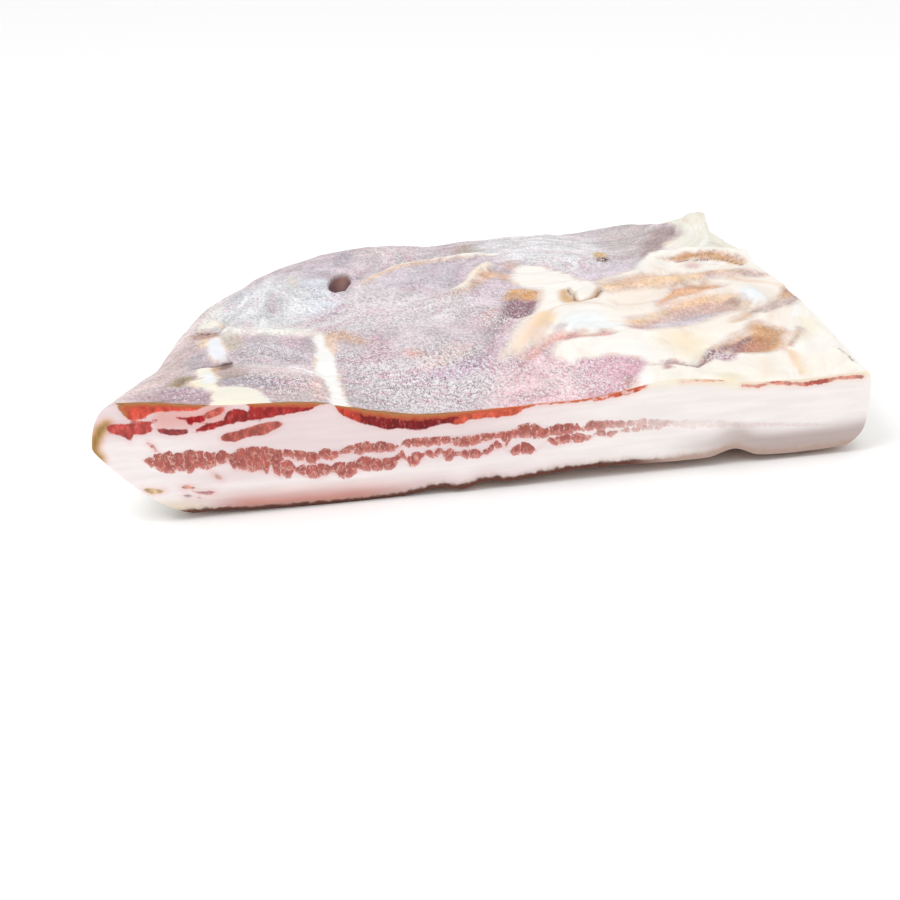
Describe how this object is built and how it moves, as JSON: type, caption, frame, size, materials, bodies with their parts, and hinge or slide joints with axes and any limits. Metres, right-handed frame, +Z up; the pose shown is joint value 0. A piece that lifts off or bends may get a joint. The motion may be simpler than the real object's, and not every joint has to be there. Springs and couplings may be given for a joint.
{
  "type": "slab of flat cured pancetta",
  "caption": "Half of a flat, dry-cured pork belly, lying rind down, with a long knife cut at the front that shows the streaks of lean, a rounded thick end and a square-trimmed thin end.",
  "frame": {"origin": "centre of the underside of the slab's bounding box, on the table", "axes": "+X along the knife cut towards the thin end, +Y from the cut to the back edge, +Z up from the rind to the cured meat side"},
  "size_m": [0.315, 0.2464, 0.0521],
  "materials": {
    "cured_belly": "cut fat and lean, satin to moist, with a dry salted top"
  },
  "bodies": {
    "root": {"pancetta_slab": "cured_belly"}
  },
  "joints": []
}
